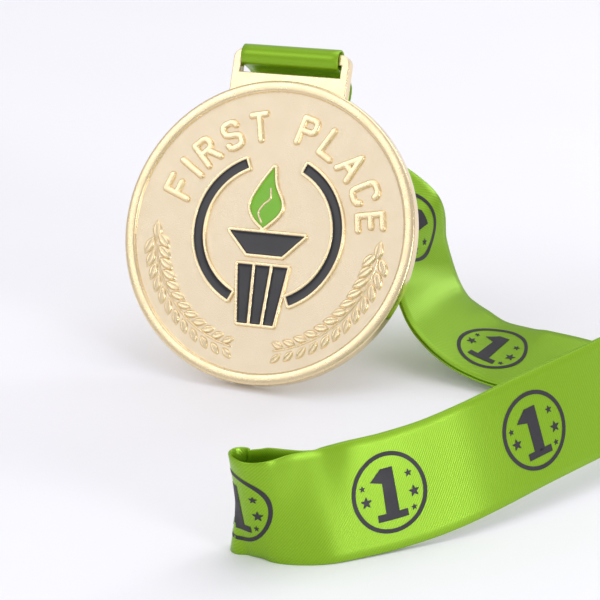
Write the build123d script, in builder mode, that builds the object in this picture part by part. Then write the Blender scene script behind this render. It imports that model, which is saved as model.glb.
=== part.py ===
"""Award medal on a neck ribbon: a die-cast disc with a slotted hanger, enamel fills and a closed woven band."""

import math
import os

from build123d import *

# ---------------------------------------------------------------- driving sizes, mm
medal_diameter = 75.0
medal_thickness = 4.0
rim_width = 2.9
rim_height = 0.8
edge_radius = 0.45

hanger_width = 30.3
hanger_thickness = 3.0
hanger_top = 44.9
hanger_foot = 33.0
hanger_corner = 2.4
slot_width = 26.3
slot_low = 39.1
bar_depth = 2.7
bar_thickness = 2.6
bar_edge = 0.6

relief_height = 0.6
letter_height = 6.3
letter_stretch = 1.08
letter_stroke = 1.9
letter_radius = 26.2
letter_middle = 85.0
letter_gap = 1.8
word_gap = 5.2
words = "FIRST PLACE"

ring_radius = 18.0
ring_band = 2.15
ring_gap_half = 25.0
cell_wall = 0.9
enamel_sink = 0.2
enamel_clearance = 0.02

bowl_top_half = 9.6
bowl_foot_half = 4.6
bowl_top = -0.4
bowl_foot = -5.6
grip_top_half = 6.4
grip_foot_half = 4.6
grip_top = -8.4
grip_foot = -22.6
flute_gap = 0.9
flame_half = 3.9
flame_foot = 1.0
flame_tip = 15.8
flame_side = -1.3

leaf_count = 12
leaf_radius = 28.8
leaf_first = 188.0
leaf_step = 6.4
leaf_long = 2.2
leaf_short = 1.05
leaf_height = 0.5

ribbon_width = 25.0
ribbon_thickness = 0.5
ply_gap = 0.4
bar_loop_clearance = 0.6
ribbon_side = -0.3
seam_distance = 9.0
tail_droop = 25.0

lean = 28.0
roll = 2.5

# ---------------------------------------------------------------- where the medal stands
medal_radius = medal_diameter / 2
field_level = medal_thickness / 2 - rim_height
relief_level = field_level + relief_height
lean_sin = math.sin(math.radians(lean))
lean_cos = math.cos(math.radians(lean))
roll_sin = math.sin(math.radians(roll))
roll_cos = math.cos(math.radians(roll))
across = Vector(roll_cos, roll_sin * lean_sin, roll_sin * lean_cos)
forward = Vector(0, -lean_cos, lean_sin)
upward = forward.cross(across)
medal_middle = Vector(
    0,
    medal_radius * lean_sin - medal_thickness / 2 * lean_cos,
    medal_radius * lean_cos + medal_thickness / 2 * lean_sin,
)
medal_plane = Plane(origin=medal_middle, x_dir=across, z_dir=forward)
bar_middle_height = hanger_top - bar_depth / 2
bar_middle = medal_middle + upward * bar_middle_height

# ---------------------------------------------------------------- letters as single strokes
strokes = {
    "F": [[(0, 0), (0, 1), (0.55, 1)], [(0, 0.52), (0.45, 0.52)]],
    "I": [[(0, 0), (0, 1)]],
    "R": [
        [(0, 0), (0, 1), (0.38, 1), (0.53, 0.88), (0.53, 0.66), (0.38, 0.54), (0, 0.54)],
        [(0.3, 0.54), (0.56, 0)],
    ],
    "S": [
        [(0.53, 0.86), (0.38, 1), (0.14, 1), (0, 0.86), (0, 0.66), (0.12, 0.55)],
        [(0.12, 0.55), (0.42, 0.45), (0.54, 0.34), (0.54, 0.14), (0.4, 0), (0.14, 0), (0, 0.14)],
    ],
    "T": [[(0, 1), (0.56, 1)], [(0.28, 1), (0.28, 0)]],
    "P": [[(0, 0), (0, 1), (0.38, 1), (0.53, 0.88), (0.53, 0.62), (0.38, 0.5), (0, 0.5)]],
    "L": [[(0, 1), (0, 0), (0.5, 0)]],
    "A": [[(0, 0), (0.3, 1), (0.6, 0)], [(0.11, 0.36), (0.49, 0.36)]],
    "C": [[(0.54, 0.84), (0.4, 1), (0.14, 1), (0, 0.84), (0, 0.16), (0.14, 0), (0.4, 0), (0.54, 0.16)]],
    "E": [[(0.52, 1), (0, 1), (0, 0), (0.52, 0)], [(0, 0.52), (0.44, 0.52)]],
}


def letter_width(letter):
    """Width of one letter's centre lines in mm."""
    reach = max(point[0] for line in strokes[letter] for point in line)
    return reach * letter_height * letter_stretch


def letter_spots(text):
    """Each letter with the arc length of its middle, counted from the middle of the text."""
    spots = []
    cursor = 0.0
    for letter in text:
        if letter == " ":
            cursor += word_gap
            continue
        width = letter_width(letter) + letter_stroke
        spots.append((letter, cursor + width / 2))
        cursor += width + letter_gap
    half = (cursor - letter_gap) / 2
    return [(letter, spot - half) for letter, spot in spots]


def letter_segments():
    """Every straight stroke as (x1, y1, x2, y2) on the medal's face."""
    segments = []
    for letter, spot in letter_spots(words):
        turn = math.radians(letter_middle) - spot / letter_radius
        out = (math.cos(turn), math.sin(turn))
        along = (math.sin(turn), -math.cos(turn))
        shift = letter_width(letter) / 2
        for line in strokes[letter]:
            placed = []
            for x, y in line:
                side = x * letter_height * letter_stretch - shift
                rise = letter_radius + (y - 0.5) * letter_height
                placed.append((out[0] * rise + along[0] * side, out[1] * rise + along[1] * side))
            for start, end in zip(placed, placed[1:]):
                segments.append((start[0], start[1], end[0], end[1]))
    return segments


# ---------------------------------------------------------------- outlines of the enamel cells
def ring_cell(side, grow):
    """One arc of the ring with radial ends, grown by a wall or shrunk by a clearance."""
    inner = ring_radius - ring_band / 2 - grow
    outer = ring_radius + ring_band / 2 + grow
    half = 90 - ring_gap_half + math.degrees(grow / ring_radius)
    middle = 0 if side > 0 else 180
    a = math.radians(middle - half)
    b = math.radians(middle)
    c = math.radians(middle + half)

    def at(radius, angle):
        return (radius * math.cos(angle), radius * math.sin(angle))

    with BuildLine() as outline:
        ThreePointArc(at(outer, a), at(outer, b), at(outer, c))
        Line(at(outer, c), at(inner, c))
        ThreePointArc(at(inner, c), at(inner, b), at(inner, a))
        Line(at(inner, a), at(outer, a))
    make_face(outline.edges())


def bowl_cell(grow):
    """The torch's bowl, a cup with a slanted side."""
    with BuildLine() as outline:
        Polyline(
            (-bowl_top_half - grow, bowl_top + grow),
            (-bowl_foot_half - grow, bowl_foot - grow),
            (bowl_foot_half + grow, bowl_foot - grow),
            (bowl_top_half + grow, bowl_top + grow),
            close=True,
        )
    make_face(outline.edges())


def grip_edge(share):
    """Half width of the grip at a share of the way down."""
    return grip_top_half + (grip_foot_half - grip_top_half) * share


def flute_cell(number, grow):
    """One of the grip's three flutes, numbered -1, 0 and 1 from the left."""
    top_pitch = (2 * grip_top_half - 2 * flute_gap) / 3
    foot_pitch = (2 * grip_foot_half - 2 * flute_gap) / 3
    top_x = number * (top_pitch + flute_gap)
    foot_x = number * (foot_pitch + flute_gap)
    with BuildLine() as outline:
        Polyline(
            (top_x - top_pitch / 2 - grow, grip_top + grow),
            (foot_x - foot_pitch / 2 - grow, grip_foot - grow),
            (foot_x + foot_pitch / 2 + grow, grip_foot - grow),
            (top_x + top_pitch / 2 + grow, grip_top + grow),
            close=True,
        )
    make_face(outline.edges())


def flame_cell(grow):
    """The flame: a broad foot and a tip that leans over."""
    low = flame_foot - grow
    high = flame_tip + 1.6 * grow
    half = flame_half + grow
    side = flame_side
    with BuildLine() as outline:
        Spline(
            (side, low),
            (side + half * 0.86, low + 3.4),
            (side + half, low + 6.2),
            (side + half * 0.45, low + 10.4),
            (side + 0.9, high),
        )
        Spline(
            (side + 0.9, high),
            (side - half * 0.5, low + 10.2),
            (side - half, low + 5.6),
            (side - half * 0.72, low + 2.4),
            (side, low),
        )
    make_face(outline.edges())


# ---------------------------------------------------------------- the die-cast medal
with BuildPart() as medal_body:
    with BuildSketch(medal_plane.offset(-medal_thickness / 2)):
        Circle(medal_radius)
    extrude(amount=medal_thickness)
    fillet(medal_body.edges().filter_by(GeomType.CIRCLE), edge_radius)
    with BuildSketch(medal_plane.offset(-hanger_thickness / 2)):
        with Locations((0, (hanger_top - hanger_corner + hanger_foot) / 2)):
            Rectangle(hanger_width, hanger_top - hanger_corner - hanger_foot)
        with Locations((0, hanger_top - hanger_corner)):
            Rectangle(hanger_width - 2 * hanger_corner, 2 * hanger_corner)
        with Locations(
            (-hanger_width / 2 + hanger_corner, hanger_top - hanger_corner),
            (hanger_width / 2 - hanger_corner, hanger_top - hanger_corner),
        ):
            Circle(hanger_corner)
    extrude(amount=hanger_thickness)
    with BuildSketch(medal_plane.offset(field_level)):
        Circle(medal_radius - rim_width)
    extrude(amount=rim_height + 1, mode=Mode.SUBTRACT)
    with BuildSketch(medal_plane.offset(-hanger_thickness)):
        with Locations((0, (slot_low + hanger_top - bar_depth) / 2)):
            Rectangle(slot_width, hanger_top - bar_depth - slot_low)
    extrude(amount=2 * hanger_thickness, mode=Mode.SUBTRACT)
    # the bar is thinner than the ears, with soft edges for the ribbon
    with BuildSketch(medal_plane.offset(-hanger_thickness)):
        with Locations((0, hanger_top)):
            Rectangle(slot_width, 2 * bar_depth + 0.02)
    extrude(amount=2 * hanger_thickness, mode=Mode.SUBTRACT)
    bar_plane = Plane(origin=bar_middle - across * (slot_width / 2 + 1), x_dir=upward, z_dir=across)
    with BuildSketch(bar_plane):
        RectangleRounded(bar_depth, bar_thickness, bar_edge)
    extrude(amount=slot_width + 2)
    # raised work on the field: letters, leaves and the walls around the enamel
    with BuildSketch(medal_plane.offset(field_level - 0.3)):
        for x1, y1, x2, y2 in letter_segments():
            length = math.hypot(x2 - x1, y2 - y1)
            angle = math.degrees(math.atan2(y2 - y1, x2 - x1))
            with Locations(Location(((x1 + x2) / 2, (y1 + y2) / 2, 0), (0, 0, angle))):
                SlotCenterToCenter(length, letter_stroke)
    extrude(amount=relief_height + 0.3)
    with BuildSketch(medal_plane.offset(field_level - 0.3)):
        for side in (-1, 1):
            for number in range(leaf_count):
                for row in (-1, 1):
                    turn = leaf_first + leaf_step * number
                    radius = leaf_radius + row * 1.75
                    x = radius * math.cos(math.radians(turn))
                    y = radius * math.sin(math.radians(turn))
                    point = turn - 90 - row * 32
                    if side > 0:
                        x = -x
                        point = 180 - point
                    with Locations(Location((x, y, 0), (0, 0, point))):
                        Ellipse(leaf_long, leaf_short)
    extrude(amount=leaf_height + 0.3)
    with BuildSketch(medal_plane.offset(field_level - 0.3)):
        ring_cell(-1, cell_wall)
        ring_cell(1, cell_wall)
        bowl_cell(cell_wall)
        for number in (-1, 0, 1):
            flute_cell(number, cell_wall)
        flame_cell(cell_wall)
    extrude(amount=relief_height + 0.3)
    with BuildSketch(medal_plane.offset(field_level)):
        ring_cell(-1, 0)
        ring_cell(1, 0)
        bowl_cell(0)
        for number in (-1, 0, 1):
            flute_cell(number, 0)
        flame_cell(0)
    extrude(amount=relief_height + 1, mode=Mode.SUBTRACT)

# ---------------------------------------------------------------- enamel fills, one per cell
enamel_depth = relief_height - enamel_sink
with BuildPart() as ring_enamel_left:
    with BuildSketch(medal_plane.offset(field_level)):
        ring_cell(-1, -enamel_clearance)
    extrude(amount=enamel_depth)

with BuildPart() as ring_enamel_right:
    with BuildSketch(medal_plane.offset(field_level)):
        ring_cell(1, -enamel_clearance)
    extrude(amount=enamel_depth)

with BuildPart() as bowl_enamel:
    with BuildSketch(medal_plane.offset(field_level)):
        bowl_cell(-enamel_clearance)
    extrude(amount=enamel_depth)

with BuildPart() as flute_enamel_left:
    with BuildSketch(medal_plane.offset(field_level)):
        flute_cell(-1, -enamel_clearance)
    extrude(amount=enamel_depth)

with BuildPart() as flute_enamel_middle:
    with BuildSketch(medal_plane.offset(field_level)):
        flute_cell(0, -enamel_clearance)
    extrude(amount=enamel_depth)

with BuildPart() as flute_enamel_right:
    with BuildSketch(medal_plane.offset(field_level)):
        flute_cell(1, -enamel_clearance)
    extrude(amount=enamel_depth)

with BuildPart() as flame_enamel:
    with BuildSketch(medal_plane.offset(field_level)):
        flame_cell(-enamel_clearance)
    extrude(amount=enamel_depth)

# ---------------------------------------------------------------- the ribbon's course
# stations of the band's middle line: place, then the direction from its near to its far edge
droop = math.radians(tail_droop)
tail_way = (forward * -math.cos(droop)) + (upward * -math.sin(droop))
seam_end_gap = 0.05
loop_middle = bar_middle + across * ribbon_side
seam_point = loop_middle + tail_way * (seam_distance + seam_end_gap)
tail_point = seam_point + tail_way * 1.5
course = [
    ((seam_point.X, seam_point.Y, seam_point.Z), (across.X, across.Y, across.Z)),
    ((tail_point.X, tail_point.Y, tail_point.Z), (across.X, across.Y, across.Z)),
    ((-3.0, 42.4, 57.6), (0.985, 0.16, 0.00)),
    ((0.2, 41.4, 49.0), (0.93, 0.33, 0.14)),
    ((12.8, 38.9, 39.8), (0.67, 0.63, 0.38)),
    ((26.0, 41.6, 32.0), (0.37, 0.91, 0.20)),
    ((29.0, 42.4, 22.8), (0.22, 0.97, 0.05)),
    ((32.2, 40.6, 17.0), (0.20, 0.98, -0.05)),
    ((36.4, 37.4, 12.2), (0.18, 0.98, 0.02)),
    ((41.8, 34.4, 8.8), (0.21, 0.97, 0.08)),
    ((48.2, 32.1, 6.4), (0.22, 0.97, 0.11)),
    ((55.6, 30.2, 5.3), (0.26, 0.95, 0.17)),
    ((63.4, 29.0, 4.9), (0.22, 0.95, 0.21)),
    ((76.0, 29.6, 4.2), (0.05, 0.98, 0.18)),
    ((90.0, 31.2, 2.2), (-0.12, 0.99, 0.06)),
    ((103.0, 34.2, 1.5), (-0.26, 0.97, 0.00)),
    ((118.0, 39.4, 2.9), (-0.33, 0.93, -0.14)),
    ((131.8, 45.0, 7.8), (-0.42, 0.73, -0.54)),
    ((140.4, 56.0, 11.2), (-0.57, 0.02, -0.82)),
    ((137.0, 66.4, 12.4), (-0.29, -0.26, -0.92)),
    ((127.4, 70.6, 13.0), (0.0, -0.31, -0.95)),
    ((119.5, 66.2, 13.2), (0.14, -0.2, -0.97)),
    ((114.5, 54.0, 14.6), (0.22, -0.14, -0.965)),
    ((109.0, 34.0, 16.8), (0.26, -0.14, -0.955)),
    ((103.6, 14.0, 18.6), (0.26, -0.14, -0.955)),
    ((98.4, -4.4, 19.6), (0.26, -0.13, -0.957)),
    ((93.1, -18.4, 19.6), (0.26, -0.13, -0.957)),
    ((84.0, -35.8, 18.0), (0.25, -0.14, -0.957)),
    ((76.0, -48.7, 15.8), (0.23, -0.15, -0.96)),
    ((68.9, -57.8, 13.8), (0.22, -0.16, -0.96)),
    ((61.9, -65.9, 12.7), (0.21, -0.17, -0.96)),
    ((55.9, -72.1, 12.4), (0.2, -0.16, -0.965)),
    ((51.0, -77.6, 12.5), (0.16, -0.08, -0.98)),
]
end_loop_course = [
    ((46.2, -81.7, 12.6), (0.11, 0.0, -0.99)),
    ((41.1, -84.8, 12.6), (-0.03, 0.16, -0.98)),
    ((36.9, -85.0, 12.5), (-0.1, 0.26, -0.96)),
    ((33.4, -82.7, 12.5), (-0.12, 0.31, -0.94)),
    ((34.0, -79.3, 12.5), (-0.1, 0.26, -0.96)),
    ((38.4, -78.0, 12.5), (-0.06, 0.2, -0.975)),
    ((43.0, -78.6, 12.6), (0.0, 0.1, -0.99)),
    ((47.2, -79.0, 12.6), (0.06, 0.0, -0.99)),
]
seats = {"drop": (0, 5), "sweep": (5, 13), "turn": (13, 23), "run": (23, 32)}
steps_per_span = 2


def blend(a, b, c, d, t):
    """Catmull-Rom blend of four vectors between the middle two."""
    return (
        b * 2.0
        + (c - a) * t
        + (a * 2.0 - b * 5.0 + c * 4.0 - d) * (t * t)
        + (b * 3.0 - a - c * 3.0 + d) * (t * t * t)
    ) * 0.5


def smooth(stations, first, last):
    """Points and width directions from one station to another, with extra ones between."""
    places = [Vector(*s[0]) for s in stations]
    widths = [Vector(*s[1]).normalized() for s in stations]
    result = []
    top = len(stations) - 1
    for index in range(first, last):
        around = [max(index - 1, 0), index, index + 1, min(index + 2, top)]
        for step in range(steps_per_span):
            t = step / steps_per_span
            place = blend(*[places[i] for i in around], t)
            width = blend(*[widths[i] for i in around], t).normalized()
            result.append((place, width))
    result.append((places[last], widths[last]))
    return result


def section_planes(line, before, after, lift):
    """A plane across the band at each point of its line, lifted to its side of the pair."""
    planes = []
    for index, (place, width) in enumerate(line):
        back = line[index - 1][0] if index else before
        ahead = line[index + 1][0] if index + 1 < len(line) else after
        face = (ahead - back).cross(width).normalized()
        normal = width.cross(face)
        planes.append(Plane(origin=place + face * lift, x_dir=width, z_dir=normal))
    return planes


def strand_planes(name, lift):
    """Section planes of one named stretch of the band."""
    first, last = seats[name]
    places = [Vector(*s[0]) for s in course]
    line = smooth(course, first, last)
    start = smooth(course, first - 1, first)[-2][0] if first else line[1][0] - tail_way * 2.0
    end = smooth(course, last, last + 1)[1][0] if last + 1 < len(places) else Vector(*end_loop_course[0][0])
    return section_planes(line, start, end, lift)


ply_offset = (ply_gap + ribbon_thickness) / 2


with BuildPart() as outer_drop:
    for plane in strand_planes("drop", ply_offset):
        with BuildSketch(plane):
            Rectangle(ribbon_width, ribbon_thickness)
    loft(ruled=True)

with BuildPart() as inner_drop:
    for plane in strand_planes("drop", -ply_offset):
        with BuildSketch(plane):
            Rectangle(ribbon_width, ribbon_thickness)
    loft(ruled=True)

with BuildPart() as outer_sweep:
    for plane in strand_planes("sweep", ply_offset):
        with BuildSketch(plane):
            Rectangle(ribbon_width, ribbon_thickness)
    loft(ruled=True)

with BuildPart() as inner_sweep:
    for plane in strand_planes("sweep", -ply_offset):
        with BuildSketch(plane):
            Rectangle(ribbon_width, ribbon_thickness)
    loft(ruled=True)

with BuildPart() as outer_turn:
    for plane in strand_planes("turn", ply_offset):
        with BuildSketch(plane):
            Rectangle(ribbon_width, ribbon_thickness)
    loft(ruled=True)

with BuildPart() as inner_turn:
    for plane in strand_planes("turn", -ply_offset):
        with BuildSketch(plane):
            Rectangle(ribbon_width, ribbon_thickness)
    loft(ruled=True)

with BuildPart() as outer_run:
    for plane in strand_planes("run", ply_offset):
        with BuildSketch(plane):
            Rectangle(ribbon_width, ribbon_thickness)
    loft(ruled=True)

with BuildPart() as inner_run:
    for plane in strand_planes("run", -ply_offset):
        with BuildSketch(plane):
            Rectangle(ribbon_width, ribbon_thickness)
    loft(ruled=True)

# the end loop starts at the outer ply's end and comes back to the inner ply's end
outer_end = strand_planes("run", ply_offset)[-1]
inner_end = strand_planes("run", -ply_offset)[-1]
last_width = Vector(*course[-1][1])
loop_stations = (
    [((outer_end.origin.X, outer_end.origin.Y, outer_end.origin.Z), (last_width.X, last_width.Y, last_width.Z))]
    + end_loop_course
    + [((inner_end.origin.X, inner_end.origin.Y, inner_end.origin.Z), (last_width.X, last_width.Y, last_width.Z))]
)
loop_line = smooth(loop_stations, 0, len(loop_stations) - 1)
run_way = outer_end.z_dir
loop_planes = section_planes(loop_line, outer_end.origin - run_way * 6.0, inner_end.origin + run_way * 6.0, 0.0)
with BuildPart() as end_loop:
    for plane in loop_planes:
        with BuildSketch(plane):
            Rectangle(ribbon_width, ribbon_thickness)
    loft(ruled=True)

# the loop around the hanger's bar, closed by the seam below it
loop_inner = bar_depth / 2 + bar_loop_clearance + 0.3
loop_outer = loop_inner + ribbon_thickness
tail_plane = Plane(origin=loop_middle - across * (ribbon_width / 2), x_dir=tail_way, z_dir=across)
pull_in = ply_offset + ribbon_thickness / 2
with BuildPart() as bar_loop:
    with BuildSketch(tail_plane):
        with BuildLine():
            Polyline((0, loop_outer), (seam_distance * 0.62, pull_in), (seam_distance, pull_in))
            Line((seam_distance, pull_in), (seam_distance, -pull_in))
            Polyline((seam_distance, -pull_in), (seam_distance * 0.62, -pull_in), (0, -loop_outer))
            ThreePointArc((0, -loop_outer), (-loop_outer, 0), (0, loop_outer))
        make_face()
        with BuildLine():
            tight = ply_gap / 2
            Polyline((0, loop_inner), (seam_distance * 0.58, tight), (seam_distance, tight))
            Line((seam_distance, tight), (seam_distance, -tight))
            Polyline((seam_distance, -tight), (seam_distance * 0.58, -tight), (0, -loop_inner))
            ThreePointArc((0, -loop_inner), (-loop_inner, 0), (0, loop_inner))
        make_face(mode=Mode.SUBTRACT)
    extrude(amount=ribbon_width)

# a row of stitching ties the plies together where they leave the bar
stitch_margin = 1.5
stitch_radius = ply_gap / 2 - 0.01
stitch_start = loop_middle + tail_way * (seam_distance * 0.8) - across * (ribbon_width / 2 - stitch_margin)
with BuildPart() as seam_thread:
    with BuildSketch(Plane(origin=stitch_start, x_dir=tail_way, z_dir=across)):
        Circle(stitch_radius)
    extrude(amount=ribbon_width - 2 * stitch_margin)

# ---------------------------------------------------------------- names and files
parts = {
    "medal_body": medal_body,
    "ring_enamel_left": ring_enamel_left,
    "ring_enamel_right": ring_enamel_right,
    "bowl_enamel": bowl_enamel,
    "flute_enamel_left": flute_enamel_left,
    "flute_enamel_middle": flute_enamel_middle,
    "flute_enamel_right": flute_enamel_right,
    "flame_enamel": flame_enamel,
    "bar_loop": bar_loop,
    "seam_thread": seam_thread,
    "outer_drop": outer_drop,
    "inner_drop": inner_drop,
    "outer_sweep": outer_sweep,
    "inner_sweep": inner_sweep,
    "outer_turn": outer_turn,
    "inner_turn": inner_turn,
    "outer_run": outer_run,
    "inner_run": inner_run,
    "end_loop": end_loop,
}
boxes = [piece.part.bounding_box() for piece in parts.values()]
low = Vector(min(b.min.X for b in boxes), min(b.min.Y for b in boxes), min(b.min.Z for b in boxes))
high = Vector(max(b.max.X for b in boxes), max(b.max.Y for b in boxes), max(b.max.Z for b in boxes))
shift = Vector(-(low.X + high.X) / 2, -(low.Y + high.Y) / 2, -low.Z)

os.makedirs("parts", exist_ok=True)
for name, piece in parts.items():
    solid = piece.part.moved(Location(shift))
    solid.label = name
    export_step(solid, "parts/" + name + ".step")

hinge = bar_middle + shift
back = medal_middle + forward * (-medal_thickness / 2) + shift
print("box", low, high, "shift", shift)
print("hinge", hinge, "axis", across)
print("back", back, "normal", forward * -1)
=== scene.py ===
"""The look of an award medal leaning back on its neck ribbon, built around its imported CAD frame."""

import logging
import math
from dataclasses import dataclass, field
from enum import IntEnum
from typing import Callable, Iterable, Sequence

import bpy
import numpy as np
from mathutils import Matrix, Vector

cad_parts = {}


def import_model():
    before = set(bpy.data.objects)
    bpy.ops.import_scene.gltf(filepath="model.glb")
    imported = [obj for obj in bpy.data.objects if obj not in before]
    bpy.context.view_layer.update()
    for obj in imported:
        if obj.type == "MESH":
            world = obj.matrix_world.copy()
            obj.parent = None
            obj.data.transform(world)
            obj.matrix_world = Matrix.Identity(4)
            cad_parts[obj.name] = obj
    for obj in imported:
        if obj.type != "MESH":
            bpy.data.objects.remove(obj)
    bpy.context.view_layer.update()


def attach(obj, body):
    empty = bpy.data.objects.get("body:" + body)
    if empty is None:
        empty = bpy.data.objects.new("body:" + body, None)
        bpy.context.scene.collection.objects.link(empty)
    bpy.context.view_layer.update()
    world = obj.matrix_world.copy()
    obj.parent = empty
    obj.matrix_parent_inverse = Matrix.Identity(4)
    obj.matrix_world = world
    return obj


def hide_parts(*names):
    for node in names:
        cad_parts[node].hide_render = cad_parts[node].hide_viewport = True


log = logging.getLogger("medal")

MM = 0.001
SHIFT = Vector((-55.3028, 6.67122, -0.058781))
Point = tuple[float, float]
Height = Callable[[np.ndarray, np.ndarray], np.ndarray]


class Face(IntEnum):
    """Finishes of the medal's metal, each with its material slot on the casting."""

    FIELD = 0
    RELIEF = 1
    EDGE = 2


# ------------------------------------------------------------------ finishes
@dataclass(frozen=True)
class Shader:
    """Small helper that wires nodes of one material."""

    name: str

    def start(self, color: Sequence[float], roughness: float, metallic: float) -> tuple:
        """Makes the material.

        Args:
            color: linear base colour.
            roughness: the surface roughness.
            metallic: 1 for metal.

        Returns:
            The material, its node tree and its Principled node.
        """
        material = bpy.data.materials.new(self.name)
        material.use_nodes = True
        tree = material.node_tree
        principled = tree.nodes["Principled BSDF"]
        principled.inputs["Base Color"].default_value = (*color, 1)
        principled.inputs["Roughness"].default_value = roughness
        principled.inputs["Metallic"].default_value = metallic
        return material, tree, principled


def node(tree: bpy.types.NodeTree, kind: str, **values: object) -> bpy.types.Node:
    """Adds a node and sets its properties and inputs.

    Args:
        tree: the node tree it goes into.
        kind: the node's type.
        values: properties or inputs by name, an underscore standing for a space in an input's name.

    Returns:
        The node.
    """
    made = tree.nodes.new(kind)
    for key, value in values.items():
        if hasattr(made, key):
            setattr(made, key, value)
        else:
            made.inputs[key.replace("_", " ")].default_value = value
    return made


def blend_color(
    tree: bpy.types.NodeTree, factor: object, first: Sequence[float], second: Sequence[float], target: object
) -> None:
    """Mixes two colours by a value that changes over the surface.

    Args:
        tree: the material's node tree.
        factor: the socket the value comes from.
        first: the linear colour where the value is 0.
        second: the linear colour where it is 1.
        target: the socket the mixed colour goes to.
    """
    blend = node(tree, "ShaderNodeMix", data_type="RGBA")
    blend.inputs[6].default_value = (*first, 1)
    blend.inputs[7].default_value = (*second, 1)
    tree.links.new(factor, blend.inputs[0])
    tree.links.new(blend.outputs[2], target)


@dataclass(frozen=True)
class Grain:
    """A fine and a broad unevenness that most of the finishes share, kept as one node group."""

    name: str = "surface_grain"
    broadening: float = 22.0

    def group(self) -> bpy.types.NodeTree:
        """Finds the group, or makes it the first time.

        Returns:
            The node group, with a place, a scale and a roughness range going in and three values coming out.
        """
        found = bpy.data.node_groups.get(self.name)
        if found is not None:
            return found
        tree = bpy.data.node_groups.new(self.name, "ShaderNodeTree")
        for label, kind in (("Vector", "Vector"), ("Scale", "Float"), ("Low", "Float"), ("High", "Float")):
            tree.interface.new_socket(label, in_out="INPUT", socket_type="NodeSocket" + kind)
        for label in ("Height", "Roughness", "Cloud"):
            tree.interface.new_socket(label, in_out="OUTPUT", socket_type="NodeSocketFloat")
        link = tree.links.new
        inward, outward = node(tree, "NodeGroupInput"), node(tree, "NodeGroupOutput")
        fine = node(tree, "ShaderNodeTexNoise", Detail=3.0, Roughness=0.6)
        broad = node(tree, "ShaderNodeTexNoise", Detail=2.0)
        coarse = node(tree, "ShaderNodeMath", operation="DIVIDE")
        coarse.inputs[1].default_value = self.broadening
        link(inward.outputs["Scale"], coarse.inputs[0])
        link(inward.outputs["Scale"], fine.inputs["Scale"])
        link(coarse.outputs[0], broad.inputs["Scale"])
        for noise in (fine, broad):
            link(inward.outputs["Vector"], noise.inputs["Vector"])
        spread = node(tree, "ShaderNodeMapRange")
        spread.inputs["From Min"].default_value = 0.3
        spread.inputs["From Max"].default_value = 0.7
        link(broad.outputs["Fac"], spread.inputs["Value"])
        link(inward.outputs["Low"], spread.inputs["To Min"])
        link(inward.outputs["High"], spread.inputs["To Max"])
        link(fine.outputs["Fac"], outward.inputs["Height"])
        link(spread.outputs["Result"], outward.inputs["Roughness"])
        link(broad.outputs["Fac"], outward.inputs["Cloud"])
        return tree

    def place(self, tree: bpy.types.NodeTree, scale: float, low: float, high: float) -> bpy.types.Node:
        """Adds the group to a material.

        Args:
            tree: the material's node tree.
            scale: how fine the grain is.
            low: the lowest roughness it gives.
            high: the highest roughness.

        Returns:
            The group's node, fed with the piece's own coordinates.
        """
        grain = node(tree, "ShaderNodeGroup")
        grain.node_tree = self.group()
        for label, value in (("Scale", scale), ("Low", low), ("High", high)):
            grain.inputs[label].default_value = value
        coords = node(tree, "ShaderNodeTexCoord")
        tree.links.new(coords.outputs["Object"], grain.inputs["Vector"])
        return grain

    def emboss(
        self, tree: bpy.types.NodeTree, height: object, target: object, strength: float, depth: float
    ) -> None:
        """Bumps a surface by a height.

        Args:
            tree: the material's node tree.
            height: the socket the height comes from.
            target: the socket the normal goes to.
            strength: the bump's strength.
            depth: its depth in metres.
        """
        bump = node(tree, "ShaderNodeBump", Strength=strength, Distance=depth)
        tree.links.new(height, bump.inputs["Height"])
        tree.links.new(bump.outputs["Normal"], target)


@dataclass(frozen=True)
class Gold:
    """Pale gold plating, from sandblasted to polished."""

    name: str
    color: tuple[float, float, float]
    roughness: float
    grain: float
    grain_scale: float

    def build(self) -> bpy.types.Material:
        """Makes the plating with a fine grain in its height and roughness.

        Returns:
            The material.
        """
        material, tree, principled = Shader(self.name).start(self.color, self.roughness, 1.0)
        low, high = self.roughness - 0.05, self.roughness + 0.07
        grain = Grain().place(tree, self.grain_scale, low, high)
        Grain().emboss(tree, grain.outputs["Height"], principled.inputs["Normal"], self.grain, 0.00012)
        tree.links.new(grain.outputs["Roughness"], principled.inputs["Roughness"])
        return material


@dataclass(frozen=True)
class Enamel:
    """Glossy enamel with a faint unevenness."""

    name: str
    color: tuple[float, float, float]
    deep: tuple[float, float, float]

    def build(self) -> bpy.types.Material:
        """Makes the enamel, its colour drifting a little.

        Returns:
            The material.
        """
        material, tree, principled = Shader(self.name).start(self.color, 0.2, 0.0)
        grain = Grain().place(tree, 5600.0, 0.16, 0.24)
        blend_color(tree, grain.outputs["Cloud"], self.color, self.deep, principled.inputs["Base Color"])
        Grain().emboss(tree, grain.outputs["Cloud"], principled.inputs["Normal"], 0.10, 0.0002)
        tree.links.new(grain.outputs["Roughness"], principled.inputs["Roughness"])
        principled.inputs["Specular IOR Level"].default_value = 0.35
        principled.inputs["Coat Weight"].default_value = 0.15
        principled.inputs["Coat Roughness"].default_value = 0.08
        return material


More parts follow.
